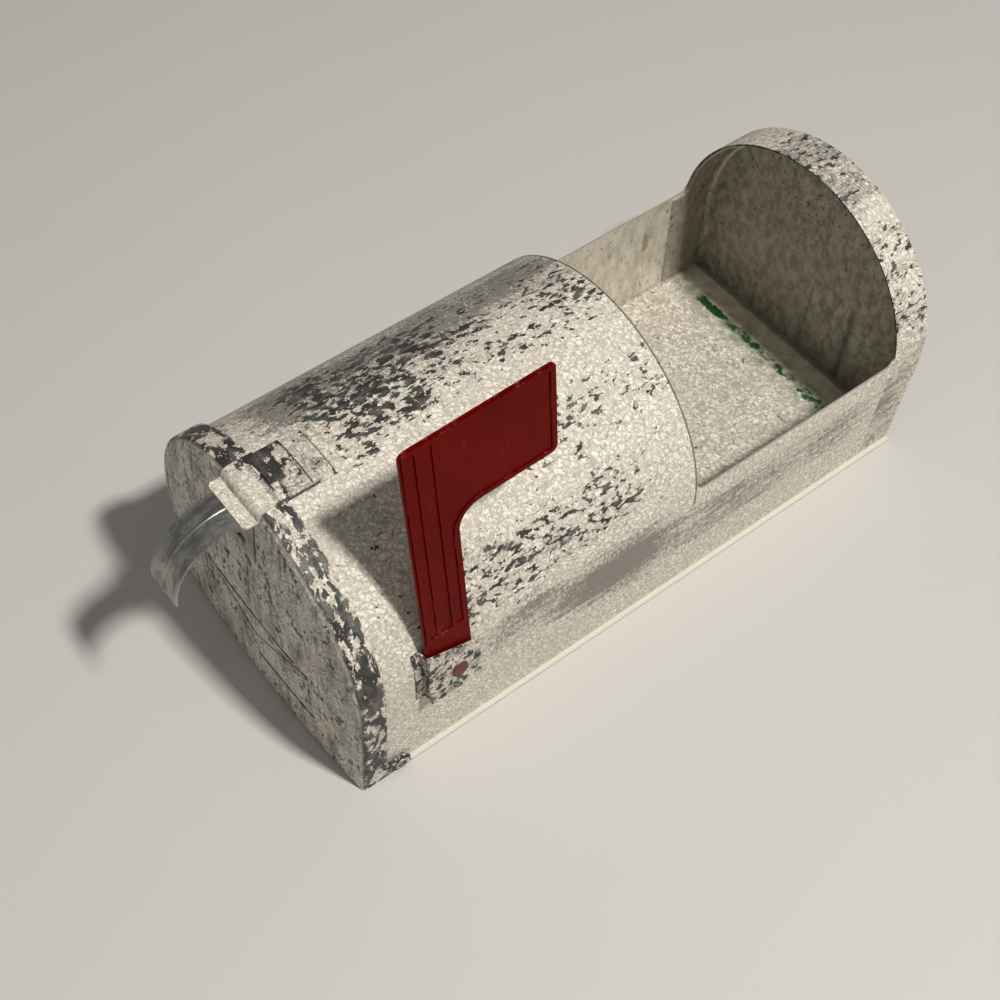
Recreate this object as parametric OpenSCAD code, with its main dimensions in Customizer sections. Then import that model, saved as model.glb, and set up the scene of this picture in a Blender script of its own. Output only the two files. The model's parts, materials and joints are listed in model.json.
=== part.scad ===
// Post box: an arched sheet-metal letter box with an open tray behind its roof,
// a hinged front door with a snap latch, and a signal flag on its right side.
// Millimetres. +Z is up, -Y is the door end and +X is the flag side.
// The origin is the centre of the base that the box rests on.

/* [Body] */
// Length from the fold round the door's face to the rear end
body_len = 304; // [260:1:400]
// Width across the widest part of the arch
body_w = 136.5; // [112:0.5:170]
// Height of the roof's crown above the base
body_h = 128; // [106:1:160]
// How far each side wall leans in at the base
side_lean = 2; // [0:0.25:4]
// Thickness of the sheet metal
sheet = 0.8; // [0.6:0.1:1]
// Reach of the folded seam beyond each side wall
seam_w = 2.2; // [1.6:0.1:4]

/* [Tray] */
// Length of the closed roof, from the door's face
roof_len = 169; // [120:1:210]
// Length of the hoop that stands over the rear end
hoop_len = 19; // [12:0.5:40]
// Height of the tray's side walls above the start of the arch
tray_rise = 7.5; // [2:0.5:15]
// Radius in the corners of the opening over the tray
tray_corner_r = 5; // [1:0.5:8]
// Height of the floor's top face above the base
floor_h = 12.4; // [10:0.2:24]
// Distance of the back wall's inner face from the rear end
back_inset = 3; // [1.5:0.5:8]
// Length of the back wall's flange, which runs forward inside the body
back_flange = 25; // [20:0.5:40]
// Outer radius of the fold between the back wall and its flange
back_fold_r = 4.8; // [2:0.1:8]
// Distance of the flange's edge from the edge of the opening over the tray
flange_inset = 1.5; // [0.5:0.1:4]

/* [Door] */
// Depth of the rim from the door's face
rim_len = 12; // [10:0.5:14]
// Gap between the body and the inside of the rim
rim_gap = 1.5; // [1.3:0.1:2.5]
// Gap between the plane of the door's fold and the front edge of the body
front_gap = 3; // [2.6:0.1:4]
// Height of the bulge of the door's face
door_dome = 3; // [1:0.5:6]
// Outer radius of the fold between the face and the rim
fold_r = 3; // [1.5:0.5:5]
// Height of the door's lower edge above the base
door_lift = 0.8; // [0.4:0.1:1.2]
// Width of the envelope motif pressed into the door
motif_w = 78; // [50:1:90]
// Height of the envelope motif
motif_h = 32; // [20:1:36]
// Height of the motif's lower edge above the base
motif_z = 20; // [14:1:30]
// Width of the motif's pressed lines
motif_line = 2.6; // [1.5:0.1:4]
// Height of the flap drawn on the envelope motif
motif_flap = 17.5; // [8:0.5:20]
// Depth of the motif's pressed lines
motif_depth = 0.4; // [0.2:0.05:0.5]

/* [Door hinge] */
// Distance of the hinge axis behind the plane of the door's fold
hinge_back = 19; // [18:0.5:24]
// Height of the hinge axis above the base
hinge_h = 5.4; // [4.5:0.1:7]
// Outer diameter of the hinge eyelets
eyelet_d = 5; // [3.6:0.1:5.4]
// Wall thickness of the hinge eyelets
eyelet_wall = 0.5; // [0.4:0.05:0.8]
// Diameter of the eyelets' rolled ends
eyelet_rim_d = 6.8; // [6.2:0.1:7.2]
// Thickness of the rolled ends of the eyelets and the pivot rivet
rolled_t = 0.7; // [0.5:0.1:0.9]
// Radial running clearance of both hinges
running_clear = 0.08; // [0.04:0.01:0.1]
// Gap between faces that slide past each other
side_clear = 0.3; // [0.2:0.05:0.5]

/* [Latch] */
// Width of the strap and its ledge
strap_w = 25; // [20:0.5:32]
// Reach of the strap under the catch
strap_hook = 2.3; // [1:0.1:4]
// How far the strap steps down behind the rim
strap_step = 1; // [0.4:0.1:1.1]
// Height of the ledge's top face below the crown of the roof
ledge_drop = 2; // [1:0.5:5]
// Reach of the ledge in front of the door
ledge_reach = 6.5; // [4:0.5:10]
// Radius of the ledge's corners
ledge_corner = 2; // [0.5:0.5:4]
// Width of the slot across the strap
slot_w = 1.2; // [0.8:0.1:2]
// Length of the slot across the strap
slot_len = 15; // [8:0.5:16]
// Distance of the slot behind the door's face
slot_back = 9; // [6:0.5:9.5]
// Width of the catch plate
catch_w = 24; // [18:0.5:30]
// Length of the catch plate along the roof
catch_len = 10.5; // [9:0.5:16]
// Distance of the catch's front edge behind the door's face
catch_back = 23.5; // [20:0.5:30]

/* [Pull handle] */
// Width of the pull handle
handle_w = 17.5; // [12:0.5:19]
// Outer radius of the handle's curve
handle_r = 27; // [18:0.5:34]
// Distance from the door to the start of the curve
handle_start = 9; // [8:0.5:14]
// Length of the leg that lies on the door
leg_len = 28; // [22:1:34]
// Radius of the rib along the handle
rib_r = 0.8; // [0.5:0.1:1.2]
// Depth of the rib's centre below the handle's outer face
rib_sink = 0.2; // [0.1:0.05:0.4]
// Diameter of the handle's rivets
rivet_d = 2.6; // [2:0.1:3.2]
// Height of the rivets' heads
rivet_head_t = 0.9; // [0.5:0.1:1.2]
// Distance of the upper rivet below the handle's plate
rivet_drop = 9.8; // [7:0.1:12]
// Distance between the two rivets
rivet_pitch = 12.6; // [8:0.1:14]

/* [Flag] */
// Height of the raised flag above its pivot
flag_h = 133; // [110:1:150]
// Length of the flag from its stem's front edge
flag_len = 64; // [50:1:74]
// Height of the flag's panel
panel_h = 44.5; // [34:0.5:56]
// Width of the flag's stem
stem_w = 20.4; // [19:0.2:22]
// Distance from the pivot to the stem's front edge
stem_front = 13; // [11.5:0.1:13.5]
// Distance from the pivot to the stem's lower end
stem_end = 10.4; // [8:0.1:11]
// Radius in the inner corner between stem and panel
flag_fillet = 10; // [4:0.5:14]
// Radius of the flag's outer corners
flag_corner = 3; // [1:0.5:5]
// Height of the flag's pressed border and ribs
press_h = 0.6; // [0.3:0.1:0.9]
// Width of the flag's pressed border and ribs
press_w = 1.8; // [1:0.1:2.4]

/* [Flag pivot] */
// Distance of the flag's pivot behind the door's face
flag_back = 44.5; // [40:0.5:70]
// Lean of the flag's plane towards the body, in degrees
flag_lean = 5; // [0:0.5:6]
// Forward tilt of the raised flag and its bracket, in degrees
flag_rake = 2; // [0:0.5:5]
// Diameter of the pivot rivet
pivot_d = 5; // [4:0.1:6]
// Diameter of the pivot rivet's head
pivot_head_d = 7.6; // [7:0.1:9]
// Thickness of the washer under the flag
washer_t = 0.7; // [0.5:0.1:1.2]
// Reach of the bracket's plate behind the pivot
bracket_rear = 10; // [8:0.5:13]
// Depth of the bracket below the pivot
bracket_low = 11.5; // [11:0.5:14]
// Height of the bracket's front edge above the pivot
bracket_front_h = 19; // [14:0.5:20]
// Height of the bracket's rear edge above the pivot
bracket_rear_h = 11; // [8:0.5:13]
// Width of the bracket's flange on the body
bracket_flange = 3.5; // [2:0.5:5]
// Height of the ear at the backing plate's rear edge
ear_h = 5.5; // [3:0.5:7]
// Distance of that ear above the pivot
ear_lift = 2.75; // [1:0.25:4]

/* [Hidden] */
$fn = 120;

// Clearance of cuts past the faces that they open
over = 1;

// Places along the body
front_y = -body_len / 2;
rear_y = body_len / 2;
shell_y = front_y + front_gap;
cut_y = front_y + roof_len;
hoop_y = rear_y - hoop_len;
back_y = rear_y - back_inset;

// The arch: a half circle whose ends run on as straight walls that lean in
arch_r = body_w / 2;
spring_z = body_h - arch_r;
lean = atan2(spring_z, arch_r - side_lean) - acos(arch_r / norm([spring_z, arch_r - side_lean]));
tray_z = spring_z + tray_rise;
// How far the flat walls are set in from the arch's tangents, so that they meet the arch cleanly
set_in = 0.02;
// Overlap of plane shapes that join in one sheet
join = 0.1;

// Half width of a side wall at height z, with the outline grown by grow
function wall_x(z, grow = 0) = (arch_r + grow - set_in + (z - spring_z) * sin(lean)) / cos(lean);

// Door hinge
hinge_y = front_y + hinge_back;
ear_r = hinge_h - door_lift;
seam_y = hinge_y + ear_r + 2 * side_clear;
washer_x0 = wall_x(hinge_h + eyelet_rim_d / 2);
washer_x1 = wall_x(hinge_h - eyelet_rim_d / 2, rim_gap) - side_clear;
ear_x = wall_x(hinge_h + eyelet_rim_d / 2, rim_gap + sheet);

// Door section: a bulged face, a round fold and a straight rim
rim_r = arch_r + rim_gap + sheet;
fold_c = rim_r - fold_r;
dome_r = (fold_c * fold_c + door_dome * door_dome) / (2 * door_dome);
dome_c = dome_r - door_dome;
fold_y = dome_c - sqrt(pow(dome_r - fold_r, 2) - fold_c * fold_c);

// Back wall: a flat pan whose flange lies just inside the body
pan_r = arch_r - sheet - 3 * set_in;
pan_c = pan_r - back_fold_r;
pan_y = back_y + sheet;

// Latch
ledge_z = body_h - ledge_drop;
tail_r = rim_r - strap_step;
lip_r = tail_r + sheet + side_clear;
strap_end = catch_back + strap_hook;
lip_len = strap_hook + 2 * side_clear;

// Pull handle
plate_z = ledge_z - sheet;
curve_y = front_y - handle_start;
curve_z = plate_z - handle_r;
leg_z = plate_z - leg_len;
rivet_z = [plate_z - rivet_drop, plate_z - rivet_drop - rivet_pitch];
rivet_head_d = 2 * rivet_d;

// Flag pivot, measured outward from the body's wall at the pivot
flag_y = front_y + flag_back;
backing_t = sheet + side_clear;
flag_t = backing_t + washer_t + side_clear;
bracket_t = flag_t + sheet + side_clear + press_h;
wall_u = -stem_front - side_clear;
rib_start = norm([wall_u - sheet, bracket_front_h]) + press_w;
washer_d = 2 * pivot_d;
pivot_hole_d = pivot_d + 2 * side_clear;
tail_t = -1.5 * sheet;
// The smallest radius of a corner inside the flag's pressed border
least_corner = 0.3;

// Filled outline of the body in the XZ plane, grown by grow and cut off below z0
module outline(grow, z0) {
    tip_r = arch_r + grow - set_in;
    tip_x = tip_r * cos(lean);
    tip_z = spring_z - tip_r * sin(lean);
    foot_x = wall_x(z0, grow);
    intersection() {
        union() {
            translate([0, spring_z]) circle(r = arch_r + grow);
            polygon([[-foot_x, z0], [foot_x, z0], [tip_x, tip_z], [-tip_x, tip_z]]);
        }
        translate([-body_w, z0]) square([2 * body_w, 2 * body_h]);
    }
}

// Extrudes an XZ outline from y0 to y1
module along_y(y0, y1) {
    translate([0, y1, 0]) rotate([90, 0, 0]) linear_extrude(height = y1 - y0) children();
}

// Extrudes a YZ outline across X, centred on the body, over a width
module across_x(width) {
    rotate([90, 0, 90]) translate([0, 0, -width / 2]) linear_extrude(height = width) children();
}

// A skin of one sheet that lies on the body between y0 and y1
module skin(y0, y1, z0) {
    difference() {
        along_y(y0, y1) outline(sheet, z0);
        along_y(y0 - over, y1 + over) outline(0, z0 - over);
    }
}

// Part of a tube round the arch's axis, from radius r0 to r1, over a width
module arch_strip(r0, r1, y0, y1, width) {
    along_y(y0, y1) intersection() {
        translate([0, spring_z]) difference() {
            circle(r = r1);
            circle(r = r0);
        }
        translate([-width / 2, spring_z]) square([width, 2 * arch_r]);
    }
}

// Section of the door from its middle outward: x is the distance from the arch's axis
module door_section(grow, depth) {
    tangent_x = fold_c * (dome_r + grow) / (dome_r - fold_r);
    intersection() {
        translate([0, dome_c]) circle(r = dome_r + grow, $fn = 1440);
        translate([0, -2 * door_dome - over]) square([tangent_x, 2 * door_dome + over + depth]);
    }
    translate([fold_c, fold_y]) circle(r = fold_r + grow);
    translate([0, fold_y]) square([rim_r + grow, depth - fold_y]);
}

// Sweeps a section round the body's outline, down to z0: x runs outward from the arch's axis
// and y rearward from y0
module sweep(y0, z0) {
    side_len = 2 * body_h;
    translate([0, y0, spring_z]) rotate([-90, 0, 0]) rotate([0, 0, 180 - lean])
        rotate_extrude(angle = 180 + 2 * lean) children();
    for (side = [0, 1]) {
        mirror([side, 0, 0]) intersection() {
            translate([0, y0, spring_z]) rotate([0, lean, 0])
                translate([0, 0, -side_len]) linear_extrude(height = side_len) children();
            translate([0, y0 - body_w, z0]) cube([2 * body_w, 2 * body_w, body_h]);
        }
    }
}

// The door's solid form, grown by grow, from its face to a depth behind the fold's plane
module door_form(grow, depth, z0) {
    sweep(front_y, z0) door_section(grow, depth);
}

// The back wall's solid form, shrunk by inset, from its rear face to a depth in front of it
module pan_form(inset, depth, z0) {
    sweep(pan_y, z0) mirror([0, 1]) {
        translate([0, inset]) square([pan_c, depth - inset]);
        translate([pan_c, back_fold_r]) circle(r = back_fold_r - inset);
        translate([0, back_fold_r]) square([pan_r - inset, depth - back_fold_r]);
    }
}

// A skin of one sheet that lies on the door, inside a box given by width, depth and heights
module door_skin(width, depth, z0, z1) {
    intersection() {
        difference() {
            door_form(sheet, rim_len, 0);
            door_form(0, rim_len + over, -over);
        }
        translate([-width / 2, front_y - 2 * body_w, z0]) cube([width, 2 * body_w + depth, z1 - z0]);
    }
}

// Places children at the hinge axis with X pointing outward, on both sides
module at_hinges() {
    for (side = [0, 1]) {
        mirror([side, 0, 0]) translate([0, hinge_y, hinge_h]) rotate([0, 90, 0]) children();
    }
}

// Places children at the flag's pivot: X leads outward, Y rearward and Z up the stem
module at_flag() {
    translate([arch_r, flag_y, spring_z]) rotate([flag_rake, -flag_lean, 0]) children();
}

// Hole square to the wall that the flag's leaning pivot rivet passes through
module flag_hole() {
    translate([0, flag_y, spring_z]) rotate([0, 90, 0]) cylinder(d = pivot_hole_d, h = body_w);
}

// Extrudes a flag outline, drawn rearward and upward, from t0 to t1 outward
module flag_layer(t0, t1) {
    translate([t0, 0, 0]) rotate([90, 0, 90]) linear_extrude(height = t1 - t0) children();
}

// A rectangle with round corners, from two opposite corners
module round_rect(x0, y0, x1, y1, r) {
    translate([x0 + r, y0]) square([x1 - x0 - 2 * r, y1 - y0]);
    translate([x0, y0 + r]) square([x1 - x0, y1 - y0 - 2 * r]);
    for (x = [x0 + r, x1 - r]) {
        for (y = [y0 + r, y1 - r]) {
            translate([x, y]) circle(r = r);
        }
    }
}

// Outline of the envelope motif: a frame and the two lower edges of its flap
module motif() {
    half = motif_w / 2;
    difference() {
        translate([-half, motif_z]) square([motif_w, motif_h]);
        translate([-half + motif_line, motif_z + motif_line])
            square([motif_w - 2 * motif_line, motif_h - 2 * motif_line]);
    }
    translate([0, motif_z + motif_h]) difference() {
        polygon([[-half, 0], [half, 0], [0, -motif_flap]]);
        polygon([[-half, motif_line], [half, motif_line], [0, motif_line - motif_flap]]);
    }
}

// Flag outline inset by an amount, with its stem starting at height w0
module flag_outline(inset, w0) {
    front = -stem_front + inset;
    rear = -stem_front + stem_w - inset;
    low = flag_h - panel_h + inset;
    round_rect(front, low, -stem_front + flag_len - inset, flag_h - inset,
        max(flag_corner - inset, least_corner));
    translate([front, w0]) square([rear - front, low + flag_corner + inset - w0]);
    fillet = flag_fillet + inset;
    difference() {
        translate([rear - join, low - fillet]) square([fillet + join, fillet + join]);
        translate([rear + fillet, low - fillet]) circle(r = fillet);
    }
}

// Outline of the bracket's plate
module bracket_outline() {
    polygon([[wall_u - sheet, -bracket_low], [bracket_rear, -bracket_low],
        [bracket_rear, bracket_rear_h], [wall_u - sheet, bracket_front_h]]);
}

// One sheet wrapped over the box: roof, side walls, rear hoop and the upper seam flanges
module body_shell() {
    color("gainsboro") difference() {
        union() {
            difference() {
                along_y(shell_y, rear_y) outline(0, 0);
                along_y(shell_y - over, rear_y + over) outline(-sheet, -over);
                translate([-body_w, seam_y, -over]) cube([2 * body_w, body_len, over + sheet]);
            }
            for (side = [0, 1]) {
                mirror([side, 0, 0]) translate([wall_x(0) - sheet / 2, seam_y, sheet])
                    cube([seam_w + sheet / 2, rear_y - seam_y, sheet]);
            }
        }
        across_x(2 * body_w) round_rect(cut_y, tray_z, hoop_y, 2 * body_h, tray_corner_r);
        at_hinges() cylinder(d = eyelet_d, h = body_w);
        flag_hole();
    }
}

// Raised floor with its side flanges turned down inside the walls and out under the seams
module floor_panel() {
    color("whitesmoke") difference() {
        union() {
            difference() {
                along_y(shell_y, back_y) outline(-sheet, 0);
                along_y(shell_y + sheet, back_y - sheet) outline(-2 * sheet, -over);
            }
            for (side = [0, 1]) {
                mirror([side, 0, 0]) translate([wall_x(0, -1.5 * sheet), seam_y, 0])
                    cube([wall_x(0) + seam_w - wall_x(0, -1.5 * sheet), back_y - seam_y, sheet]);
            }
            along_y(shell_y, back_y) intersection() {
                outline(-sheet, 0);
                translate([-body_w, floor_h - sheet]) square([2 * body_w, sheet]);
            }
        }
        translate([-body_w, front_y, floor_h]) cube([2 * body_w, body_len, 2 * body_h]);
        at_hinges() cylinder(d = eyelet_d, h = body_w);
    }
}

// Back wall: a pan with a round fold, whose flange runs forward inside the hoop and the tray's walls
module back_wall() {
    color("dimgray") difference() {
        pan_form(0, back_flange, 0);
        pan_form(sheet, back_flange + over, -over);
        across_x(2 * body_w) round_rect(cut_y, tray_z - flange_inset, hoop_y + flange_inset, 2 * body_h,
            tray_corner_r);
        translate([-body_w, front_y, -over]) cube([2 * body_w, back_y - front_y, over + floor_h]);
    }
}

// Drawn door: bulged face, folded rim and the two hinge ears
module door_panel() {
    color("gainsboro") difference() {
        union() {
            difference() {
                door_form(0, rim_len, door_lift);
                door_form(-sheet, rim_len + over, door_lift - over);
            }
            for (side = [0, 1]) {
                mirror([side, 0, 0]) intersection() {
                    along_y(front_y + rim_len - sheet, hinge_y + ear_r) difference() {
                        outline(rim_gap + sheet, door_lift);
                        outline(rim_gap, door_lift - over);
                    }
                    translate([body_w / 2, 0, 0]) across_x(body_w) union() {
                        translate([hinge_y, hinge_h]) circle(r = ear_r);
                        translate([front_y + rim_len - over, door_lift])
                            square([hinge_back - rim_len + over, 2 * ear_r]);
                    }
                }
            }
        }
        at_hinges() cylinder(d = eyelet_d + 2 * running_clear, h = body_w);
        for (z = rivet_z) {
            translate([0, front_y, z]) rotate([90, 0, 0])
                cylinder(d = rivet_d, h = 4 * door_dome, center = true);
        }
        intersection() {
            difference() {
                door_form(over, rim_len, 0);
                door_form(-motif_depth, rim_len, 0);
            }
            along_y(front_y - body_len, front_y + fold_r) motif();
        }
    }
}

// Hollow rivets that pin the door's ears to the side walls
module hinge_eyelets() {
    inner_x = wall_x(hinge_h - eyelet_rim_d / 2, -2 * sheet);
    outer_x = ear_x + side_clear;
    color("silver") at_hinges() rotate_extrude() {
        translate([eyelet_d / 2 - eyelet_wall, inner_x - rolled_t])
            square([eyelet_wall, outer_x - inner_x + 2 * rolled_t]);
        translate([eyelet_d / 2 - eyelet_wall, inner_x - rolled_t])
            square([(eyelet_rim_d - eyelet_d) / 2 + eyelet_wall - rolled_t / 2, rolled_t]);
        translate([eyelet_rim_d / 2 - rolled_t / 2, inner_x - rolled_t / 2]) circle(d = rolled_t, $fn = 32);
        translate([eyelet_d / 2 - eyelet_wall, outer_x])
            square([(eyelet_rim_d - eyelet_d) / 2 + eyelet_wall - rolled_t / 2, rolled_t]);
        translate([eyelet_rim_d / 2 - rolled_t / 2, outer_x + rolled_t / 2]) circle(d = rolled_t, $fn = 32);
    }
}

// Washers that keep the door's ears off the side walls
module hinge_washers() {
    color("silver") at_hinges() rotate_extrude()
        translate([eyelet_d / 2 + running_clear, washer_x0])
            square([(eyelet_rim_d - eyelet_d) / 2 - running_clear, washer_x1 - washer_x0]);
}

// Latch strap: lies over the door's rim, hooks under the catch and folds out as a ledge
module latch_strap() {
    step_y = front_y + rim_len + side_clear;
    color("gainsboro") difference() {
        union() {
            door_skin(strap_w, rim_len, plate_z, 2 * body_h);
            arch_strip(rim_r, rim_r + sheet, front_y + rim_len / 2, step_y + sheet, strap_w);
            arch_strip(tail_r, rim_r + sheet, step_y, step_y + sheet, strap_w);
            arch_strip(tail_r, tail_r + sheet, step_y, front_y + strap_end, strap_w);
            difference() {
                translate([0, front_y, plate_z]) linear_extrude(height = sheet)
                    round_rect(-strap_w / 2, -ledge_reach, strap_w / 2, fold_r, ledge_corner);
                door_form(0, rim_len, 0);
            }
        }
        translate([-slot_len / 2, front_y + slot_back, ledge_z]) cube([slot_len, slot_w, body_h]);
    }
}

// Pull handle: a leg on the door, a plate under the ledge and a curve that hangs in front
module pull_handle() {
    color("slategray") difference() {
        union() {
            door_skin(handle_w, fold_r, leg_z, plate_z);
            difference() {
                translate([-handle_w / 2, curve_y, plate_z - sheet])
                    cube([handle_w, handle_start + fold_r, sheet]);
                door_form(0, rim_len, 0);
            }
            across_x(handle_w) intersection() {
                translate([curve_y, curve_z]) difference() {
                    circle(r = handle_r);
                    circle(r = handle_r - sheet);
                }
                translate([curve_y - handle_r - over, curve_z]) square([handle_r + over, handle_r + over]);
            }
            difference() {
                union() {
                    translate([0, curve_y, curve_z]) rotate([0, 90, 0]) rotate([0, 0, 180])
                        rotate_extrude(angle = 90) translate([handle_r - rib_sink, 0])
                            circle(r = rib_r, $fn = 32);
                    translate([0, front_y - ledge_reach - side_clear, plate_z - rib_sink]) rotate([90, 0, 0])
                        cylinder(r = rib_r, h = handle_start - ledge_reach - side_clear, $fn = 32);
                }
                translate([0, curve_y, curve_z]) rotate([0, 90, 0])
                    cylinder(r = handle_r - sheet / 2, h = handle_w, center = true);
            }
        }
        for (z = rivet_z) {
            translate([0, front_y, z]) rotate([90, 0, 0])
                cylinder(d = rivet_d, h = 4 * door_dome, center = true);
        }
    }
}

// Rivets through the handle's leg and the door's face
module handle_rivets() {
    color("silver") for (z = rivet_z) {
        translate([0, front_y, z]) rotate([90, 0, 0]) cylinder(d = rivet_d, h = door_dome);
        intersection() {
            difference() {
                door_form(sheet + rivet_head_t, rim_len, 0);
                door_form(sheet, rim_len, 0);
            }
            translate([0, front_y, z]) rotate([90, 0, 0]) cylinder(d = rivet_head_d, h = 4 * door_dome);
        }
        intersection() {
            difference() {
                door_form(-sheet, rim_len, 0);
                door_form(-sheet - rivet_head_t, rim_len, 0);
            }
            translate([0, front_y + rim_len, z]) rotate([90, 0, 0])
                cylinder(d = rivet_head_d, h = 2 * rim_len);
        }
    }
}

// Catch plate on the roof: a raised lip in front, a flat foot and a turned-up rear edge
module catch_plate() {
    catch_y = front_y + catch_back;
    rear = catch_y + catch_len;
    color("gainsboro") union() {
        arch_strip(lip_r, lip_r + sheet, catch_y, catch_y + lip_len + sheet, catch_w);
        arch_strip(arch_r, lip_r + sheet, catch_y + lip_len, catch_y + lip_len + sheet, catch_w);
        arch_strip(arch_r, arch_r + sheet, catch_y + lip_len, rear, catch_w);
        arch_strip(arch_r, arch_r + 2 * sheet, rear - sheet, rear, catch_w);
    }
}

// Signal flag: stem and panel stamped from one sheet, with a pressed border and two stem ribs
module flag() {
    color("firebrick") at_flag() difference() {
        union() {
            flag_layer(flag_t, flag_t + sheet) {
                flag_outline(0, 0);
                intersection() {
                    circle(r = stem_front);
                    translate([-stem_front, -stem_end]) square([stem_w, stem_end + join]);
                }
            }
            flag_layer(flag_t + sheet, flag_t + sheet + press_h) {
                difference() {
                    flag_outline(press_w / 2, rib_start);
                    flag_outline(1.5 * press_w, rib_start + press_w);
                }
                for (i = [1, 2]) {
                    translate([-stem_front + i * stem_w / 3 - press_w / 2, rib_start])
                        square([press_w, flag_h - rib_start - press_w]);
                }
            }
        }
        rotate([0, 90, 0]) cylinder(d = pivot_d + 2 * running_clear, h = arch_r);
    }
}

// Bracket: a flange on the body, a front wall that stops the raised flag, and the outer plate
module flag_bracket() {
    color("gainsboro") difference() {
        union() {
            intersection() {
                skin(front_y, cut_y, door_lift);
                at_flag() translate([-arch_r / 2, wall_u - sheet - bracket_flange, -bracket_low])
                    cube([arch_r, bracket_flange + sheet, bracket_low + bracket_front_h]);
            }
            at_flag() flag_layer(-arch_r / 8, bracket_t + sheet / 2) intersection() {
                bracket_outline();
                translate([wall_u - sheet, -bracket_low]) square([sheet, bracket_low + bracket_front_h]);
            }
            at_flag() flag_layer(bracket_t, bracket_t + sheet) bracket_outline();
        }
        along_y(front_y - over, cut_y + over) outline(0, door_lift - over);
        at_flag() rotate([0, 90, 0]) cylinder(d = pivot_d, h = arch_r);
    }
}

// Thin plate between the body and the flag, with an ear at its rear edge
module flag_backing_plate() {
    front = wall_u + side_clear;
    color("silver") intersection() {
        difference() {
            skin(flag_y - arch_r, flag_y + arch_r, door_lift);
            flag_hole();
        }
        translate([0, flag_y, spring_z]) rotate([flag_rake, 0, 0]) flag_layer(0, body_w) {
            translate([front, -bracket_low])
                square([bracket_rear - front, bracket_low + bracket_rear_h]);
            translate([bracket_rear - over, ear_lift]) square([bracket_flange, ear_h]);
        }
    }
}

// Friction washer between the backing plate and the flag
module flag_washer() {
    color("silver") at_flag() rotate([0, 90, 0]) difference() {
        translate([0, 0, backing_t]) cylinder(d = washer_d, h = washer_t);
        cylinder(d = pivot_d + 2 * running_clear, h = arch_r);
    }
}

// Rivet that the flag turns on, clinched inside the body
module flag_pivot_rivet() {
    head_t = bracket_t + sheet;
    color("brown") at_flag() rotate([0, 90, 0]) rotate_extrude() {
        translate([0, tail_t - rolled_t]) square([pivot_d / 2, head_t - tail_t + 2 * rolled_t]);
        translate([0, tail_t - rolled_t]) square([pivot_head_d / 2, rolled_t]);
        translate([0, head_t]) square([pivot_head_d / 2 - rolled_t, rolled_t]);
        intersection() {
            translate([pivot_head_d / 2 - rolled_t, head_t]) circle(r = rolled_t, $fn = 32);
            translate([0, head_t]) square([pivot_head_d, rolled_t]);
        }
    }
}

body_shell();
floor_panel();
back_wall();
door_panel();
hinge_eyelets();
hinge_washers();
latch_strap();
pull_handle();
handle_rivets();
catch_plate();
flag();
flag_bracket();
flag_backing_plate();
flag_washer();
flag_pivot_rivet();
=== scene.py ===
import json
import math

import bpy
from mathutils import Matrix, Vector


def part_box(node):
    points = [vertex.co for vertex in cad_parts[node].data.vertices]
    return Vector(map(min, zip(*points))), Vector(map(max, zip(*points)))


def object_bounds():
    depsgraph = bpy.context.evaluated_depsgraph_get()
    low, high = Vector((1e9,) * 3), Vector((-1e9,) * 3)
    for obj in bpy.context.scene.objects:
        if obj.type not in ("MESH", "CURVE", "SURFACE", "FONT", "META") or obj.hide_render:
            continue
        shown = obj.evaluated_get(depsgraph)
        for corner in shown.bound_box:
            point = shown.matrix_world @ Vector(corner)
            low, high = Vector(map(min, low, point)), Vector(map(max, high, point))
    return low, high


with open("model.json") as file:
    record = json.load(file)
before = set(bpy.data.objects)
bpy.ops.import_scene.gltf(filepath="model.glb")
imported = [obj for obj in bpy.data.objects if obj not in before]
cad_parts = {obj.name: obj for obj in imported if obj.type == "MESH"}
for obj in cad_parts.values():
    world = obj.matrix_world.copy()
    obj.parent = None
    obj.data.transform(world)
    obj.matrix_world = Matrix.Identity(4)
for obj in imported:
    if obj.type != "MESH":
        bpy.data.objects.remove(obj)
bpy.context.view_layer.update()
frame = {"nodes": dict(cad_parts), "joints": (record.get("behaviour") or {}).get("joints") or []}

nodes = frame["nodes"]
MM = 1000.0  # materials are written in millimetres
NOISE_STEP, CELL_STEP = 137.0, 61.0  # how far apart two seeds look up their textures, in millimetres

# ---------------------------------------------------------------- places, from the frame, in millimetres
shell_low, shell_high = (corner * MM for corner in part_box("body_shell"))
floor_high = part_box("floor_panel")[1] * MM
wall_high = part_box("back_wall")[1] * MM
door_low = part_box("door_panel")[0] * MM
strap_low, strap_high = (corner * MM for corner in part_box("latch_strap"))
joints = {joint["name"]: joint for joint in frame["joints"]}
pivot = Vector(joints["flag_pivot"]["pos_m"]) * MM
ARCH_R, SPRING_Z = pivot.x, pivot.z  # the pivot is where the arch ends and the side wall starts
# along the crown the shell has edges at the door, at both ends of the open tray and at the rear
over_tray = 0.5 * (shell_low.y + shell_high.y) + 40.0
crown = {round(v.co.y * MM, 2) for v in nodes["body_shell"].data.vertices
         if v.co.z * MM > shell_high.z - 1.0 and abs(v.co.x) * MM < 6.0}
tray_y = max(y for y in crown if y < over_tray)
hoop_y = min(y for y in crown if y > over_tray)
slot_y = strap_low.y + 15.5  # front edge of the strap's slot
stain_y = wall_high.y - 17.5  # line of the green stain, across the floor
SEAM_TOP, SEAM_FULL = 3.0, 1.9  # heights between which the bottom seam's paler paint comes in


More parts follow.
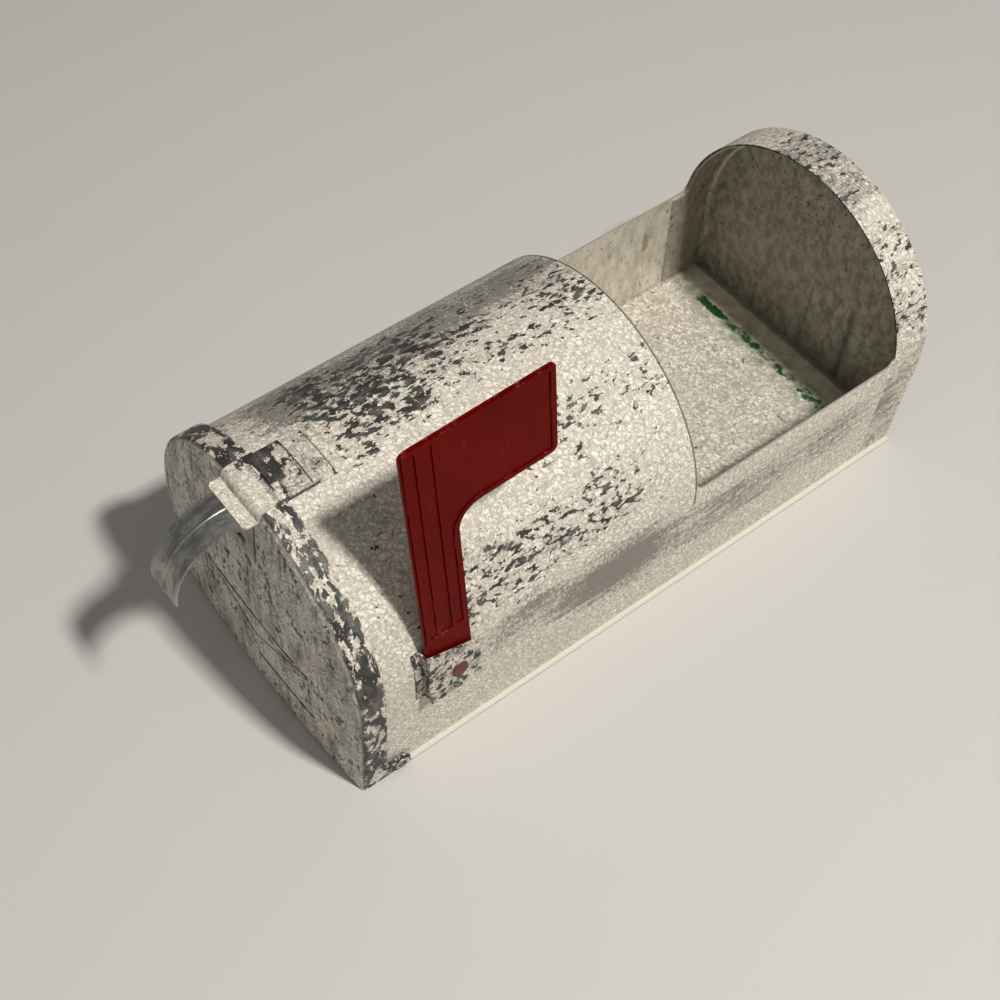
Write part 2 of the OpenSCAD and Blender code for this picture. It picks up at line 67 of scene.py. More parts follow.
# ---------------------------------------------------------------- node trees as expressions
class Value:
    """A node socket that arithmetic works on."""

    def __init__(self, net, socket):
        self.net, self.socket = net, socket

    def __add__(self, other):
        return self.net.math("ADD", self, other)

    def __sub__(self, other):
        return self.net.math("SUBTRACT", self, other)

    def __mul__(self, other):
        return self.net.math("MULTIPLY", self, other)

    def __rsub__(self, other):
        return self.net.math("SUBTRACT", other, self)

    def __neg__(self):
        return self.net.math("MULTIPLY", self, -1.0)

    __radd__ = __add__
    __rmul__ = __mul__


class Net:
    """One material and the short calls that build its nodes."""

    def __init__(self, name):
        self.mat = bpy.data.materials.new(name)
        self.mat.use_nodes = True
        self.tree = self.mat.node_tree
        self.tree.nodes.clear()
        output = self.tree.nodes.new("ShaderNodeOutputMaterial")
        self.shader = self.tree.nodes.new("ShaderNodeBsdfPrincipled")
        self.tree.links.new(self.shader.outputs[0], output.inputs["Surface"])
        place = self.tree.nodes.new("ShaderNodeTexCoord")
        self.at = self.scale(place.outputs["Object"], MM, MM, MM)
        self.x, self.y, self.z = self.split(self.at)
        self.nx, self.ny, self.nz = self.split(place.outputs["Normal"])

    def put(self, socket, value):
        if isinstance(value, Value):
            value = value.socket
        if isinstance(value, bpy.types.NodeSocket):
            self.tree.links.new(value, socket)
        else:
            socket.default_value = value

    def node(self, kind, values, output=0, **settings):
        made = self.tree.nodes.new(kind)
        for key, value in settings.items():
            setattr(made, key, value)
        for key, value in values.items():
            self.put(made.inputs[key], value)
        return Value(self, made.outputs[output])

    def math(self, operation, a, b=0.0):
        return self.node("ShaderNodeMath", {0: a, 1: b}, operation=operation)

    def abs(self, a):
        return self.math("ABSOLUTE", a)

    def most(self, a, b):
        return self.math("MAXIMUM", a, b)

    def split(self, vector):
        made = self.tree.nodes.new("ShaderNodeSeparateXYZ")
        self.put(made.inputs[0], vector)
        return [Value(self, made.outputs[i]) for i in range(3)]

    def join(self, x, y, z):
        return self.node("ShaderNodeCombineXYZ", {0: x, 1: y, 2: z})

    def scale(self, vector, x, y, z):
        return self.node("ShaderNodeVectorMath", {0: vector, 1: (x, y, z)}, operation="MULTIPLY")

    def shift(self, vector, offset):
        """Move the place a texture is looked up at, so that each seed has its own pattern."""
        return self.node("ShaderNodeVectorMath", {0: vector, 1: (offset, offset * 0.7, -offset)},
                         operation="ADD")

    def noise(self, vector, size, detail, rough, warp, seed):
        """Noise about 0.5; size is the size of its blotches in millimetres."""
        return self.node("ShaderNodeTexNoise", {"Vector": self.shift(vector, seed * NOISE_STEP),
                                                "Scale": 1 / size, "Detail": detail,
                                                "Roughness": rough, "Distortion": warp})

    def cracks(self, vector, size, seed):
        """Distance to the nearest border between cells; size is a cell's size in millimetres."""
        return self.node("ShaderNodeTexVoronoi", {"Vector": self.shift(vector, seed * CELL_STEP),
                                                  "Scale": 1 / size}, feature="DISTANCE_TO_EDGE")

    def step(self, value, low, high, to_low=0.0, to_high=1.0):
        """Smooth step of value from low to high."""
        return self.node("ShaderNodeMapRange", {"Value": value, "From Min": low, "From Max": high,
                                                "To Min": to_low, "To Max": to_high},
                         interpolation_type="SMOOTHSTEP")

    def band(self, value, centre, flat, soft):
        """1 within flat of centre, falling to 0 over the next soft millimetres."""
        return self.step(self.abs(value - centre), flat, flat + soft, 1.0, 0.0)

    def patches(self, across, along, rows):
        """Sum of soft patches. A row has the centre, flat and soft part of a patch across and then
        along, in millimetres, and its strength."""
        total = 0.0
        for row in rows:
            total = self.band(across, *row[:3]) * self.band(along, *row[3:6]) * row[6] + total
        return total

    def mix(self, factor, a, b):
        """Colour mix: a where factor is 0, b where it is 1."""
        made = self.tree.nodes.new("ShaderNodeMix")
        made.data_type = "RGBA"
        self.put(made.inputs[0], factor)
        self.put(made.inputs[6], a if isinstance(a, Value) else (*a, 1.0))
        self.put(made.inputs[7], b if isinstance(b, Value) else (*b, 1.0))
        return Value(self, made.outputs[2])

    def blend(self, factor, a, b):
        """Number mix: a where factor is 0, b where it is 1."""
        return self.node("ShaderNodeMix", {0: factor, 2: a, 3: b}, data_type="FLOAT")

    def bump(self, height, depth):
        """Relief from a height of 0 to 1 that stands for depth millimetres."""
        return self.node("ShaderNodeBump", {"Height": height, "Distance": depth / MM, "Strength": 1.0})

    def finish(self, colour, rough, metal=0.0, normal=None, uniform=()):
        """Wire up the shader. uniform has the values that are set on the shader's own sockets."""
        self.put(self.shader.inputs["Base Color"], colour)
        self.put(self.shader.inputs["Roughness"], rough)
        self.put(self.shader.inputs["Metallic"], metal)
        if normal is not None:
            self.put(self.shader.inputs["Normal"], normal)
        for key, value in uniform:
            self.shader.inputs[key].default_value = value
        return self.mat


# ---------------------------------------------------------------- shared finishes
SOFT_GLOSS = [("Specular IOR Level", 0.3)]
CREAM = (0.95, 0.89, 0.775)
CHALK = (0.59, 0.54, 0.46)
NET = (0.33, 0.30, 0.26)
SLATE = (0.048, 0.050, 0.047)
ZINC = (0.17, 0.168, 0.155)
SMEAR = (0.205, 0.175, 0.150)
# near black, for painted shade on cut edges, along the door's fold and on the strap's edges
SHADED_EDGE = (0.02, 0.019, 0.018)
SEAM = (0.70, 0.665, 0.585)
DIRT = (0.07, 0.06, 0.045)


def whitewash(net, grain, flakes, rubbed, cell=2.6, seed=0.0):
    """Whitewash over galvanised sheet. grain is the place in millimetres with the brushing along Y.
    flakes is how much paint has come off in sharp flakes and rubbed is how much is worn thin, both
    about 0 to 1. cell is the size of the paint's lumps."""
    # paint: pale lumps in a fine grey net, with hairlines across the brushing
    wobble = net.noise(grain, 3.0, 2.0, 0.5, 0.0, seed + 1)
    bend = net.join(wobble * 5.0, wobble * 7.0, wobble * 5.0)
    bent = net.node("ShaderNodeVectorMath", {0: grain, 1: bend}, operation="ADD")
    gap = net.cracks(bent, cell, seed)
    mottle = net.noise(grain, 1.7, 4.0, 0.66, 0.7, seed + 2)
    cloud = net.noise(net.scale(grain, 1.0, 0.6, 1.0), 11.0, 5.0, 0.6, 0.3, seed + 3)
    hairs = net.noise(net.scale(grain, 0.16, 1.0, 1.0), 0.9, 3.0, 0.6, 0.2, seed + 9)
    pale = net.step(mottle * 0.7 + cloud * 0.3, 0.40, 0.58)
    web = net.step(gap, 0.02, 0.20, 1.0, 0.0) * net.step(cloud, 0.30, 0.54, 0.25, 1.0)
    hair = net.step(hairs, 0.58, 0.70)
    pit = net.step(net.noise(grain, 1.3, 3.0, 0.6, 0.4, seed + 11), 0.62, 0.70)
    paint = net.mix(pale, CHALK, CREAM)
    paint = net.mix(web * 0.58, paint, NET)
    paint = net.mix(hair * 0.34, paint, NET)
    paint = net.mix(pit * 0.5, paint, NET)
    # metal under it
    tone = net.noise(net.scale(grain, 1.0, 0.45, 1.0), 4.0, 5.0, 0.62, 0.2, seed + 4)
    metal = net.mix(net.step(tone, 0.42, 0.68), SLATE, ZINC)
    # sharp flakes, longer along the brushing
    islands = net.noise(net.scale(grain, 1.0, 0.5, 1.0), 2.5, 2.5, 0.55, 0.4, seed + 5)
    drift = net.noise(net.scale(grain, 1.0, 0.4, 1.0), 9.0, 3.0, 0.6, 0.3, seed + 6)
    chips = net.noise(net.scale(grain, 1.0, 0.75, 1.0), 0.9, 3.0, 0.6, 0.4, seed + 7)
    loose = islands * 0.60 + drift * 0.18 + chips * 0.22 + flakes * 0.13
    bare = net.step(loose, 0.628, 0.642)
    # thin, rubbed paint in long soft streaks
    streak = net.noise(net.scale(grain, 1.0, 0.09, 1.0), 3.2, 5.0, 0.62, 0.15, seed + 8)
    grit = net.noise(net.scale(grain, 0.6, 1.0, 1.0), 1.1, 4.0, 0.65, 0.3, seed + 10)
    thin = net.step(streak * 0.32 + cloud * 0.24 + grit * 0.44 + rubbed * 0.14, 0.565, 0.71)
    colour = net.mix(thin * 0.85, paint, net.mix(net.step(grit, 0.4, 0.6), SMEAR, ZINC))
    halo = net.step(loose, 0.600, 0.626) * (1.0 - bare)
    colour = net.mix(halo * 0.3, colour, NET)
    colour = net.mix(bare, colour, metal)
    shown = net.most(bare, thin * 0.4)
    rough = net.blend(shown, 0.66, 0.5) + (mottle - 0.5) * 0.2
    relief = net.bump((1.0 - bare) * 0.9 + pale * 0.35 - web * 0.3 - hair * 0.15 + grit * 0.15, 0.2)
    return {"colour": colour, "rough": rough, "metal": bare * 0.35, "normal": relief, "fine": mottle}


def unrolled(net):
    """Arc in millimetres from the crown, positive on the flag's side, then on down the side wall."""
    above = net.most(net.z - SPRING_Z, 0.0)
    below = net.most(SPRING_Z - net.z, 0.0)
    side = net.math("SIGN", net.x)
    return net.math("ARCTAN2", net.x, above) * ARCH_R + side * below


def outward(net):
    """Positive on faces that look away from the arch's axis, negative on those that look inwards."""
    return net.nx * net.x + net.nz * net.most(net.z - SPRING_Z, 0.0)


# patches on the shell, across in arc from the crown and along Y, as the photo shows them
FLAKED = [(-29.0, 13.0, 12.0, -82.0, 18.0, 26.0, 0.42), (-16.0, 18.0, 15.0, -46.0, 54.0, 24.0, 0.74),
          (-4.0, 6.0, 7.0, -90.0, 14.0, 14.0, 0.45), (-20.0, 9.0, 12.0, 2.0, 12.0, 10.0, 0.2),
          (-34.0, 14.0, 16.0, -122.0, 10.0, 24.0, 0.45), (40.0, 9.0, 10.0, -20.0, 30.0, 26.0, 0.62),
          (76.0, 9.0, 11.0, -62.0, 34.0, 44.0, 0.9), (28.0, 18.0, 22.0, -112.0, 8.0, 16.0, 0.28),
          (-84.0, 10.0, 18.0, -30.0, 60.0, 60.0, 0.8)]
RUBBED = [(114.0, 8.0, 16.0, -46.0, 34.0, 30.0, 1.25), (127.0, 9.0, 15.0, 44.0, 62.0, 56.0, 1.2),
          (74.0, 8.0, 18.0, -50.0, 36.0, 60.0, 0.8), (-46.0, 14.0, 26.0, -50.0, 62.0, 40.0, 1.0),
          (-22.0, 14.0, 20.0, -56.0, 60.0, 30.0, 0.75)]


def shell_material():
    net = Net("whitewash_shell")
    s = unrolled(net)
    y = net.y
    grain = net.join(s, y, 0.0)
    wander = (net.noise(net.join(s, y * 0.5, 0.0), 16.0, 3.0, 0.5, 0.0, 9.0) - 0.5) * 1.1
    on_hoop = net.step(y, hoop_y - 2.0, hoop_y)
    flakes = (net.patches(s, y, FLAKED)
              + net.band(s, -2.0, 18.0, 14.0) * on_hoop * 0.5
              + net.band(s, 62.0, 18.0, 14.0) * on_hoop * 0.42
              + on_hoop * 0.3)
    rubbed = (net.patches(s, y, RUBBED)
              + net.band(s, -120.0, 14.0, 22.0) * 0.8
              + on_hoop * (0.85 + net.band(s, -2.0, 18.0, 14.0) * 0.5))
    bare_ground = net.step(net.band(s, 0.0, 12.0, 10.0) * net.step(y, -110.0, -122.0), 0.0, 1.0)
    look = whitewash(net, grain, flakes + wander * (0.35 + flakes * 0.65) - 0.12 - bare_ground * 0.4,
                     rubbed + wander * 0.8 - 0.3)
    # inside faces are plain grey sheet with dark specks, paler in the tray than in the hoop; the hoop's
    # darker tone is partly bare sheet and partly painted shade under the hoop
    inside = net.step(outward(net), 0.0, -0.5)
    speck = net.step(net.noise(net.at, 2.0, 5.0, 0.62, 0.6, 21.0), 0.60, 0.66)
    cloud = net.noise(net.scale(net.at, 1.0, 1.0, 0.45), 7.0, 6.0, 0.62, 0.2, 22.0)
    tray_tone = net.mix(net.step(cloud, 0.32, 0.7), (0.90, 0.85, 0.73), (0.60, 0.555, 0.46))
    hoop_tone_and_shade = net.mix(net.step(cloud, 0.3, 0.72), (0.46, 0.43, 0.36), (0.24, 0.22, 0.18))
    in_tone = net.mix(net.step(y, hoop_y - 6.0, hoop_y + 4.0), tray_tone, hoop_tone_and_shade)
    in_tone = net.mix(speck * 0.75, in_tone, DIRT)
    spot = net.band(y, 110.0, 0.5, 3.4) * net.band(net.z, 46.0, 2.0, 7.5) * net.step(-net.x, 0.0, 1.0)
    rust = net.step(spot * 0.55 + net.noise(net.at, 2.6, 4.0, 0.66, 0.5, 23.0) * 0.9, 0.62, 1.02)
    in_tone = net.mix(rust * 0.75, in_tone, (0.40, 0.235, 0.09))
    colour = net.mix(inside, look["colour"], in_tone)
    # cut edges of the sheet, mottled bare zinc and near-black painted shade, the roof's edge at the tray
    # with a painted shadow line, the walls' upper edges and the seam
    cut = net.step(net.abs(net.ny), 0.75, 0.95)
    cut_tone = net.mix(net.step(net.noise(net.at, 4.0, 3.0, 0.5, 0.0, 24.0), 0.45, 0.6), SHADED_EDGE, ZINC)
    colour = net.mix(cut, colour, cut_tone)
    # painted shadow: a dark line on the roof just in front of the tray's edge
    tray_edge_shadow = net.band(y, tray_y - 0.35, 0.35, 0.3) * net.step(net.z, SPRING_Z - 4.0, SPRING_Z + 2.0)
    colour = net.mix(tray_edge_shadow * (1.0 - inside) * 0.85, colour, (0.10, 0.09, 0.075))
    top_edge = net.step(net.nz, 0.8, 0.95) * net.step(net.z, SPRING_Z + 12.0, SPRING_Z + 9.0)
    seam = net.step(net.z, SEAM_TOP, SEAM_FULL)
    colour = net.mix(top_edge * (1.0 - seam), colour, (0.36, 0.34, 0.3))
    colour = net.mix(seam * (1.0 - inside), colour, SEAM)
    rough = net.blend(inside, look["rough"], 0.5)
    metal = look["metal"] * (1.0 - inside) * (1.0 - seam) + inside * 0.35
    return net.finish(colour, rough, metal, look["normal"], SOFT_GLOSS)


def floor_material():
    net = Net("whitewash_floor")
    grain = net.join(net.y, net.x, net.z)
    back = net.step(net.y, stain_y, stain_y + 2.5)
    right = net.step(net.x, 40.0, 66.0)
    look = whitewash(net, grain, right * 0.15 + 0.02, right * 0.5 + back * 0.6 + 0.05, 3.2, 3.0)
    speck = net.step(net.noise(net.at, 2.2, 5.0, 0.64, 0.5, 31.0), 0.565, 0.64)
    colour = net.mix(speck * 0.62, look["colour"], (0.19, 0.16, 0.115))
    grime = net.noise(net.at, 6.0, 5.0, 0.6, 0.3, 32.0)
    worn = net.noise(net.scale(net.at, 1.0, 0.8, 1.0), 3.4, 4.0, 0.6, 0.8, 35.0)
    colour = net.mix(net.step(worn, 0.50, 0.62) * 0.5, colour, (0.36, 0.315, 0.245))
    bare_strip = net.mix(net.step(grime, 0.3, 0.7), (0.78, 0.74, 0.61), (0.50, 0.47, 0.38))
    colour = net.mix(back * 0.92, colour, bare_strip)
    # green stain in a ragged line, thicker to the left, with a faint wash before it
    wave = (net.noise(net.join(net.x, 0.0, 0.0), 12.0, 4.0, 0.6, 0.0, 33.0) - 0.5) * 7.0
    line = net.band(net.y + wave, stain_y, 1.0, 4.6)
    break_up = net.noise(net.at, 4.0, 4.0, 0.66, 0.4, 34.0)
    green = net.step(line * 0.5 + break_up * 1.0, 0.84, 1.08)
    thick = net.step(-net.x, 22.0, 34.0) * 0.2
    green = net.most(green, net.step(line * 0.6 + break_up * 0.5 + thick, 0.86, 0.98))
    green = green * net.band(net.x, -2.0, 42.0, 6.0)
    faint = net.band(net.y + wave, stain_y - 2.5, 2.5, 7.0) * net.step(grime, 0.36, 0.6) * 0.62
    faint = net.most(faint, right * net.step(grime, 0.42, 0.66) * 0.3)
    colour = net.mix(faint, colour, (0.20, 0.27, 0.19))
    colour = net.mix(green, colour, (0.018, 0.085, 0.024))
    # darker where the floor meets the walls: painted shade in the corners
    corner_shade = net.most(net.step(net.abs(net.x), floor_high.x - 5.2, floor_high.x - 1.8),
                      net.step(net.y, wall_high.y - 4.5, wall_high.y - 2.4))
    colour = net.mix(corner_shade * 0.7, colour, (0.10, 0.095, 0.08))
    seam = net.step(net.z, SEAM_TOP, SEAM_FULL) * net.step(net.abs(net.x), 64.0, 66.0)
    colour = net.mix(seam, colour, SEAM)
    return net.finish(colour, look["rough"], look["metal"] * 0.5, look["normal"], SOFT_GLOSS)


def wall_material():
    net = Net("bare_back_wall")
    upright = net.scale(net.at, 1.0, 1.0, 0.6)
    cloud = net.noise(upright, 4.0, 7.0, 0.7, 0.3, 41.0)
    broad = net.noise(upright, 40.0, 3.0, 0.5, 0.0, 42.0)
    colour = net.mix(net.step(cloud, 0.34, 0.68), (0.42, 0.405, 0.345), (0.185, 0.177, 0.148))
    colour = net.mix(net.step(broad, 0.4, 0.66) * 0.4, colour, (0.27, 0.235, 0.185))
    speck = net.step(net.noise(net.scale(net.at, 1.0, 1.0, 0.7), 1.9, 4.0, 0.6, 0.3, 43.0), 0.60, 0.65)
    crowd = net.step(net.z, 50.0, 105.0, 0.35, 1.0)
    colour = net.mix(speck * crowd * 0.85, colour, (0.018, 0.015, 0.01))
    scratch = net.noise(net.scale(net.at, 1.0, 1.0, 0.05), 1.1, 2.0, 0.5, 0.0, 44.0)
    colour = net.mix(net.step(scratch, 0.69, 0.74) * 0.35, colour, (0.42, 0.4, 0.35))
    # two creases low on the wall, pressed in and painted dark: painted shade in the creases
    crease = net.band(net.x, 6.0, 0.2, 1.2) * 0.6 + net.band(net.x, 31.0, 0.5, 2.2)
    crease = crease * net.step(net.z, 62.0, 52.0)
    colour = net.mix(crease * 0.6, colour, (0.06, 0.057, 0.048))
    # a painted highlight in a bright arc near the fold, and the flange that runs forward from it
    radius = net.math("SQRT", net.x * net.x + (net.z - SPRING_Z) * (net.z - SPRING_Z))
    line = net.band(radius, ARCH_R - 4.0, 0.1, 0.7)
    line = line * net.step(net.z, SPRING_Z + 4.0, SPRING_Z + 12.0) * net.step(net.ny, 0.2, 0.0)
    colour = net.mix(line * net.step(-net.x, 10.0, 40.0) * 0.75, colour, (0.6, 0.57, 0.5))
    flange = net.step(net.y, wall_high.y - 3.2, wall_high.y - 4.4)
    flange_tone = net.mix(net.step(cloud, 0.32, 0.7), (0.66, 0.61, 0.50), (0.42, 0.385, 0.31))
    flange_tone = net.mix(speck * 0.8, flange_tone, DIRT)
    colour = net.mix(flange, colour, flange_tone)
    outside = net.step(net.ny, 0.0, 0.6)
    rear_flakes = net.noise(net.at, 40.0, 2.0, 0.5, 0.0, 46.0) * 0.9 - 0.4
    rear_rubbed = net.band(net.z, 40.0, 20.0, 30.0) * 0.3 - 0.1
    rear = whitewash(net, net.join(net.x, net.z, 0.0), rear_flakes, rear_rubbed, 2.6, 5.0)
    colour = net.mix(outside, colour, rear["colour"])
    rough = net.blend(cloud, 0.38, 0.62)
    relief = net.bump(cloud * 0.5 - speck * 0.4 - crease * 0.8, 0.14)
    return net.finish(colour, rough, net.blend(outside, 0.55, rear["metal"]), relief)


def door_material():
    net = Net("whitewash_door")
    face = net.step(net.abs(net.ny), 0.45, 0.8)
    arc = unrolled(net)
    rim_grain = net.join(net.y, arc, 0.0)
    upright = net.join(net.x, net.z, 0.0)
    grain = net.node("ShaderNodeMix", {0: face, 4: rim_grain, 5: upright}, 1, data_type="VECTOR")
    fleck = net.noise(net.scale(rim_grain, 1.0, 0.6, 1.0), 5.0, 6.0, 0.65, 0.6, 51.0)
    rim_flakes = 1.6 - net.step(fleck, 0.46, 0.60) * 1.2 - net.band(arc, 30.0, 8.0, 10.0) * 0.3
    face_flakes = net.noise(upright, 14.0, 3.0, 0.5, 0.0, 52.0) * 1.6 - 0.42
    flakes = net.blend(face, rim_flakes, face_flakes)
    face_rubbed = net.noise(net.scale(upright, 1.0, 0.4, 1.0), 10.0, 3.0, 0.5, 0.0, 53.0) * 1.8 - 0.1
    rubbed = net.blend(face, 0.5, face_rubbed)
    look = whitewash(net, grain, flakes, rubbed, 2.4, 7.0)
    colour = look["colour"]
    # painted shade: a dark line along the rounded fold between the door's face and its rim
    fold = net.band(net.y, door_low.y + 3.2, 0.5, 1.3) * (1.0 - face)
    lip_low, lip_high = door_low.y + 14.1, door_low.y + 16.0
    lip = net.step(net.y, lip_low, lip_low + 0.7) * net.step(net.y, lip_high, lip_high - 0.6)
    colour = net.mix(fold * net.step(look["fine"], 0.4, 0.55) * 0.7, colour, SHADED_EDGE)
    colour = net.mix(lip * net.step(look["fine"], 0.45, 0.6) * 0.5, colour, CREAM)
    # the inside is plain grey sheet
    inner = net.most(net.step(net.ny, 0.3, 0.6), net.step(outward(net), 0.0, -0.5))
    cloud = net.noise(net.scale(net.at, 1.0, 1.0, 0.6), 6.0, 6.0, 0.65, 0.3, 54.0)
    sheet = net.mix(net.step(cloud, 0.32, 0.68), (0.50, 0.475, 0.41), (0.29, 0.275, 0.235))
    dots = net.step(net.noise(net.at, 2.0, 5.0, 0.62, 0.5, 55.0), 0.60, 0.66)
    sheet = net.mix(dots * 0.7, sheet, (0.08, 0.07, 0.055))
    colour = net.mix(inner, colour, sheet)
    metal = look["metal"] * (1.0 - inner) + inner * 0.35
    return net.finish(colour, look["rough"], metal, look["normal"], SOFT_GLOSS)


def strap_material():
    net = Net("whitewash_strap")
    grain = net.join(net.y, net.x, 0.0)
    ragged = (net.noise(net.at, 6.0, 5.0, 0.65, 0.4, 61.0) - 0.5) * 9.0
    patch = net.band(net.y + ragged, slot_y + 4.5, 3.6, 1.8) * net.band(net.x + ragged, -4.0, 7.0, 2.0)
    left = net.step(-net.x + ragged * 0.5, 7.5, 9.5) * net.step(net.y, slot_y - 10.0, slot_y - 8.0)
    clean = net.step(net.y, slot_y - 1.0, slot_y - 3.0)
    flakes = patch * 1.3 + left * 0.9 - clean * 0.5 + 0.42
    look = whitewash(net, grain, flakes, 0.85 - clean * 1.0, 2.2, 9.0)
    # painted shade: the strap's end faces and the margins along its sides go near black, where it stands
    # off the roof
    cut = net.step(net.abs(net.ny), 0.8, 0.95)
    side = net.step(net.abs(net.x), strap_high.x - 0.7, strap_high.x - 0.3) * (1.0 - clean)
    colour = net.mix(net.most(cut * (1.0 - clean), side) * 0.85, look["colour"], SHADED_EDGE)
    return net.finish(colour, look["rough"], look["metal"], look["normal"], SOFT_GLOSS)


def plate_material(name, flakes, rubbed, seed, cell=2.2):
    """Whitewash on a small fitting."""
    net = Net(name)
    grain = net.join(net.x, net.y * 1.8, net.z)
    wander = (net.noise(net.at, 7.0, 3.0, 0.5, 0.0, seed + 0.5) - 0.5) * 1.4
    look = whitewash(net, grain, wander + flakes, wander + rubbed, cell, seed)
    return net.finish(look["colour"], look["rough"], look["metal"], look["normal"], SOFT_GLOSS)


def steel_material(name, light, dark, seed, rough_low, rough_high):
    """Bare worn steel, brushed along the strip, with pale scuffs."""
    net = Net(name)
    brushed = net.scale(net.at, 1.0, 0.18, 0.18)
    cloud = net.noise(brushed, 2.6, 6.0, 0.62, 0.2, seed)
    blotch = net.noise(net.at, 7.0, 4.0, 0.6, 0.4, seed + 1)
    colour = net.mix(net.step(cloud * 0.6 + blotch * 0.4, 0.36, 0.64), dark, light)
    scuff = net.step(net.noise(net.scale(net.at, 1.0, 0.5, 0.5), 1.6, 4.0, 0.6, 0.6, seed + 2), 0.64, 0.7)
    colour = net.mix(scuff * 0.6, colour, (0.62, 0.6, 0.55))
    rough = net.blend(cloud, rough_low, rough_high)
    relief = net.bump(cloud * 0.6 + scuff * 0.4, 0.06)
    return net.finish(colour, rough, 0.85, relief)


def flag_material():
    net = Net("red_flag_paint")
    pane = net.noise(net.at, 24.0, 4.0, 0.5, 0.0, 81.0)
    colour = net.mix(net.step(pane, 0.35, 0.7), (0.125, 0.0022, 0.0006), (0.098, 0.0014, 0.0004))
    # scuffs on the flanks of the pressed ribs and on the edges, where paint rubs thin; the paler red on
    # the rib flanks is also a painted highlight
    grit = net.noise(net.scale(net.at, 1.0, 1.0, 0.22), 2.2, 6.0, 0.68, 0.4, 82.0)
    coarse = net.noise(net.scale(net.at, 1.0, 1.0, 0.3), 9.0, 3.0, 0.5, 0.0, 83.0)
    flank_highlight = net.step(net.nx, 0.93, 0.75)
    worn = net.step(grit * 0.6 + coarse * 0.4 + flank_highlight * 0.06, 0.57, 0.67)
    colour = net.mix(worn * (0.16 + flank_highlight * 0.5), colour, (0.34, 0.075, 0.06))
    rough = 0.3 + worn * 0.25 + (grit - 0.5) * 0.12
    relief = net.bump(net.noise(net.at, 1.6, 3.0, 0.5, 0.0, 84.0) * 0.5 + pane, 0.03)
    return net.finish(colour, rough, 0.0, relief, [("Specular IOR Level", 0.03)])


def rivet_paint():
    net = Net("rivet_red_brown")
    grit = net.noise(net.at, 1.4, 5.0, 0.65, 0.5, 91.0)
    colour = net.mix(net.step(grit, 0.4, 0.62), (0.17, 0.035, 0.028), (0.09, 0.03, 0.024))
    colour = net.mix(net.step(grit, 0.62, 0.7) * 0.6, colour, (0.45, 0.38, 0.33))
    return net.finish(colour, net.blend(grit, 0.35, 0.65), 0.2, net.bump(grit, 0.08))


GALVANISED = ((0.46, 0.45, 0.42), (0.20, 0.20, 0.19))
BRIGHT = ((0.55, 0.54, 0.51), (0.24, 0.235, 0.225))
finishes = {
    "body_shell": shell_material(),
    "floor_panel": floor_material(),
    "back_wall": wall_material(),
    "door_panel": door_material(),
    "latch_strap": strap_material(),
    "catch_plate": plate_material("whitewash_catch", 0.3, 0.8, 11.0),
    "flag_bracket": plate_material("whitewash_bracket", 0.85, 0.7, 13.0, 1.6),
    "flag_backing_plate": plate_material("whitewash_backing", 0.6, 0.5, 15.0, 1.6),
    "pull_handle": steel_material("handle_steel", *GALVANISED, 71.0, 0.3, 0.5),
    "handle_rivets": steel_material("rivet_steel", *BRIGHT, 72.0, 0.25, 0.45),
    "hinge_eyelets": steel_material("eyelet_steel", *BRIGHT, 73.0, 0.25, 0.45),
    "hinge_washers": steel_material("washer_steel", *GALVANISED, 74.0, 0.3, 0.5),
    "flag_washer": steel_material("flag_washer_steel", *GALVANISED, 75.0, 0.3, 0.5),
    "flag": flag_material(),
    "flag_pivot_rivet": rivet_paint(),
}
for name, material in finishes.items():
    mesh = nodes[name].data
    mesh.materials.clear()
    mesh.materials.append(material)

# ---------------------------------------------------------------- floor, light and camera
low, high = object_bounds()
centre = (low + high) / 2


def plain_floor():
    net = Net("studio_floor")
    soft = net.noise(net.at, 400.0, 3.0, 0.5, 0.0, 101.0)
    colour = net.mix(soft, (0.60, 0.585, 0.56), (0.64, 0.625, 0.60))
    return net.finish(colour, 0.7)


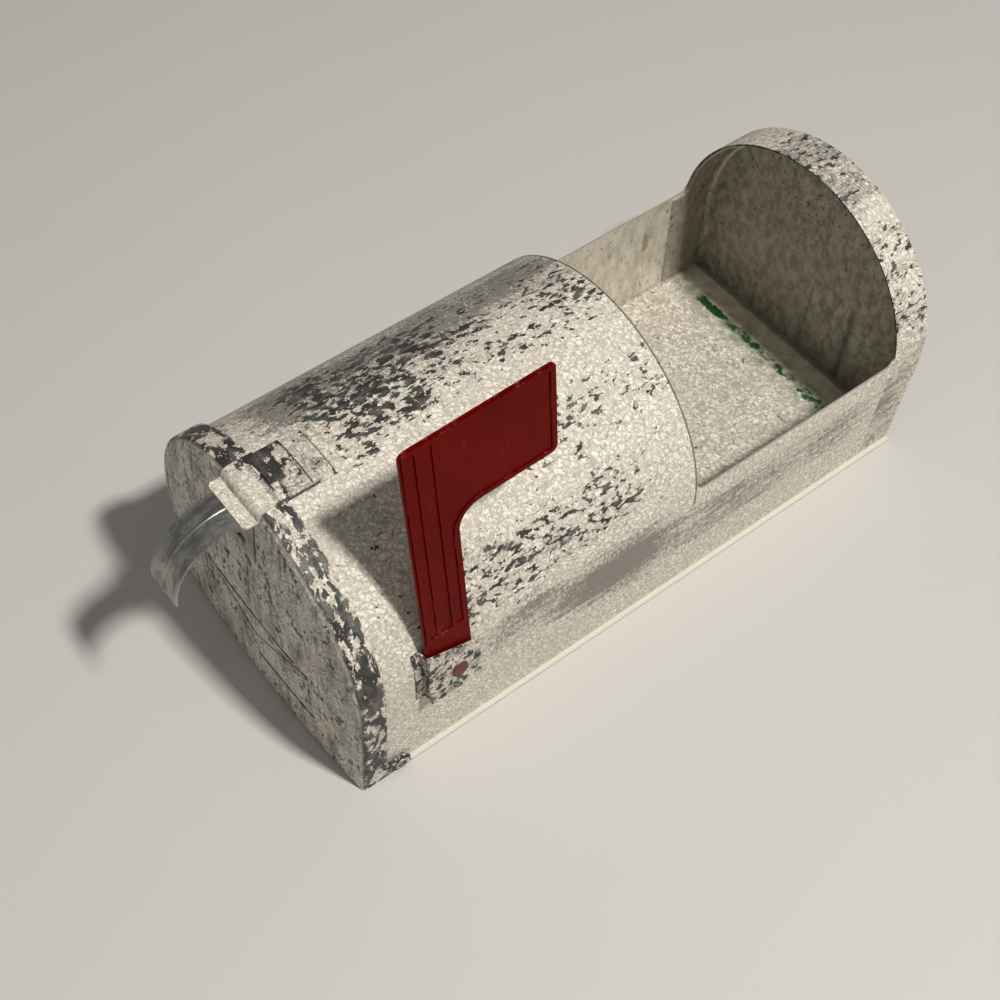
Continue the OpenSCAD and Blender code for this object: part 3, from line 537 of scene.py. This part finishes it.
mesh = bpy.data.meshes.new("studio_floor")
reach, clearance = 4.0, 0.0002  # metres
corners = [(-reach, -reach, 0), (reach, -reach, 0), (reach, reach, 0), (-reach, reach, 0)]
mesh.from_pydata(corners, [], [(0, 1, 2, 3)])
floor = bpy.data.objects.new("studio_floor", mesh)
floor.location.z = low.z - clearance
mesh.materials.append(plain_floor())
bpy.context.scene.collection.objects.link(floor)

world = bpy.data.worlds.new("studio")
world.use_nodes = True
world.node_tree.nodes["Background"].inputs["Color"].default_value = (0.95, 0.93, 0.9, 1.0)
world.node_tree.nodes["Background"].inputs["Strength"].default_value = 0.16
bpy.context.scene.world = world


def softbox(name, towards, distance, size, watts, tint=(1.0, 0.97, 0.92)):
    """A square area light that shines at the object from a direction."""
    lamp = bpy.data.lights.new(name, "AREA")
    lamp.energy, lamp.size, lamp.color = watts, size, tint
    holder = bpy.data.objects.new(name, lamp)
    away = Vector(towards).normalized()
    holder.location = centre + away * distance
    holder.rotation_mode = "QUATERNION"
    holder.rotation_quaternion = away.to_track_quat("Z", "Y")
    bpy.context.scene.collection.objects.link(holder)


softbox("key", (0.482, 0.089, 0.872), distance=1.8, size=0.14, watts=30.0)
softbox("fill", (0.2, -0.9, 0.75), distance=1.8, size=1.4, watts=2.4, tint=(1.0, 0.97, 0.94))
bpy.context.scene.view_settings.view_transform = "Standard"

# the camera stands above the flag side of the door and looks down along the body
stand = (0.3008, -0.2910, 0.5735)
lens_yaw, lens_pitch, lens_roll = -0.896, -0.944, 0.032
look = Vector((math.cos(lens_pitch) * math.sin(lens_yaw), math.cos(lens_pitch) * math.cos(lens_yaw),
               math.sin(lens_pitch)))
level = Vector((math.cos(lens_yaw), -math.sin(lens_yaw), 0.0))
rise = level.cross(look)
right = level * math.cos(lens_roll) + rise * math.sin(lens_roll)
up = rise * math.cos(lens_roll) - level * math.sin(lens_roll)
eye = bpy.data.cameras.new("camera")
eye.sensor_width = 36.0
eye.lens = 55.6
eye.shift_x = 0.0367
camera = bpy.data.objects.new("camera", eye)
turn = Matrix((right, up, -look)).transposed().to_4x4()
camera.matrix_world = Matrix.Translation(stand) @ turn
bpy.context.scene.collection.objects.link(camera)
bpy.context.scene.camera = camera
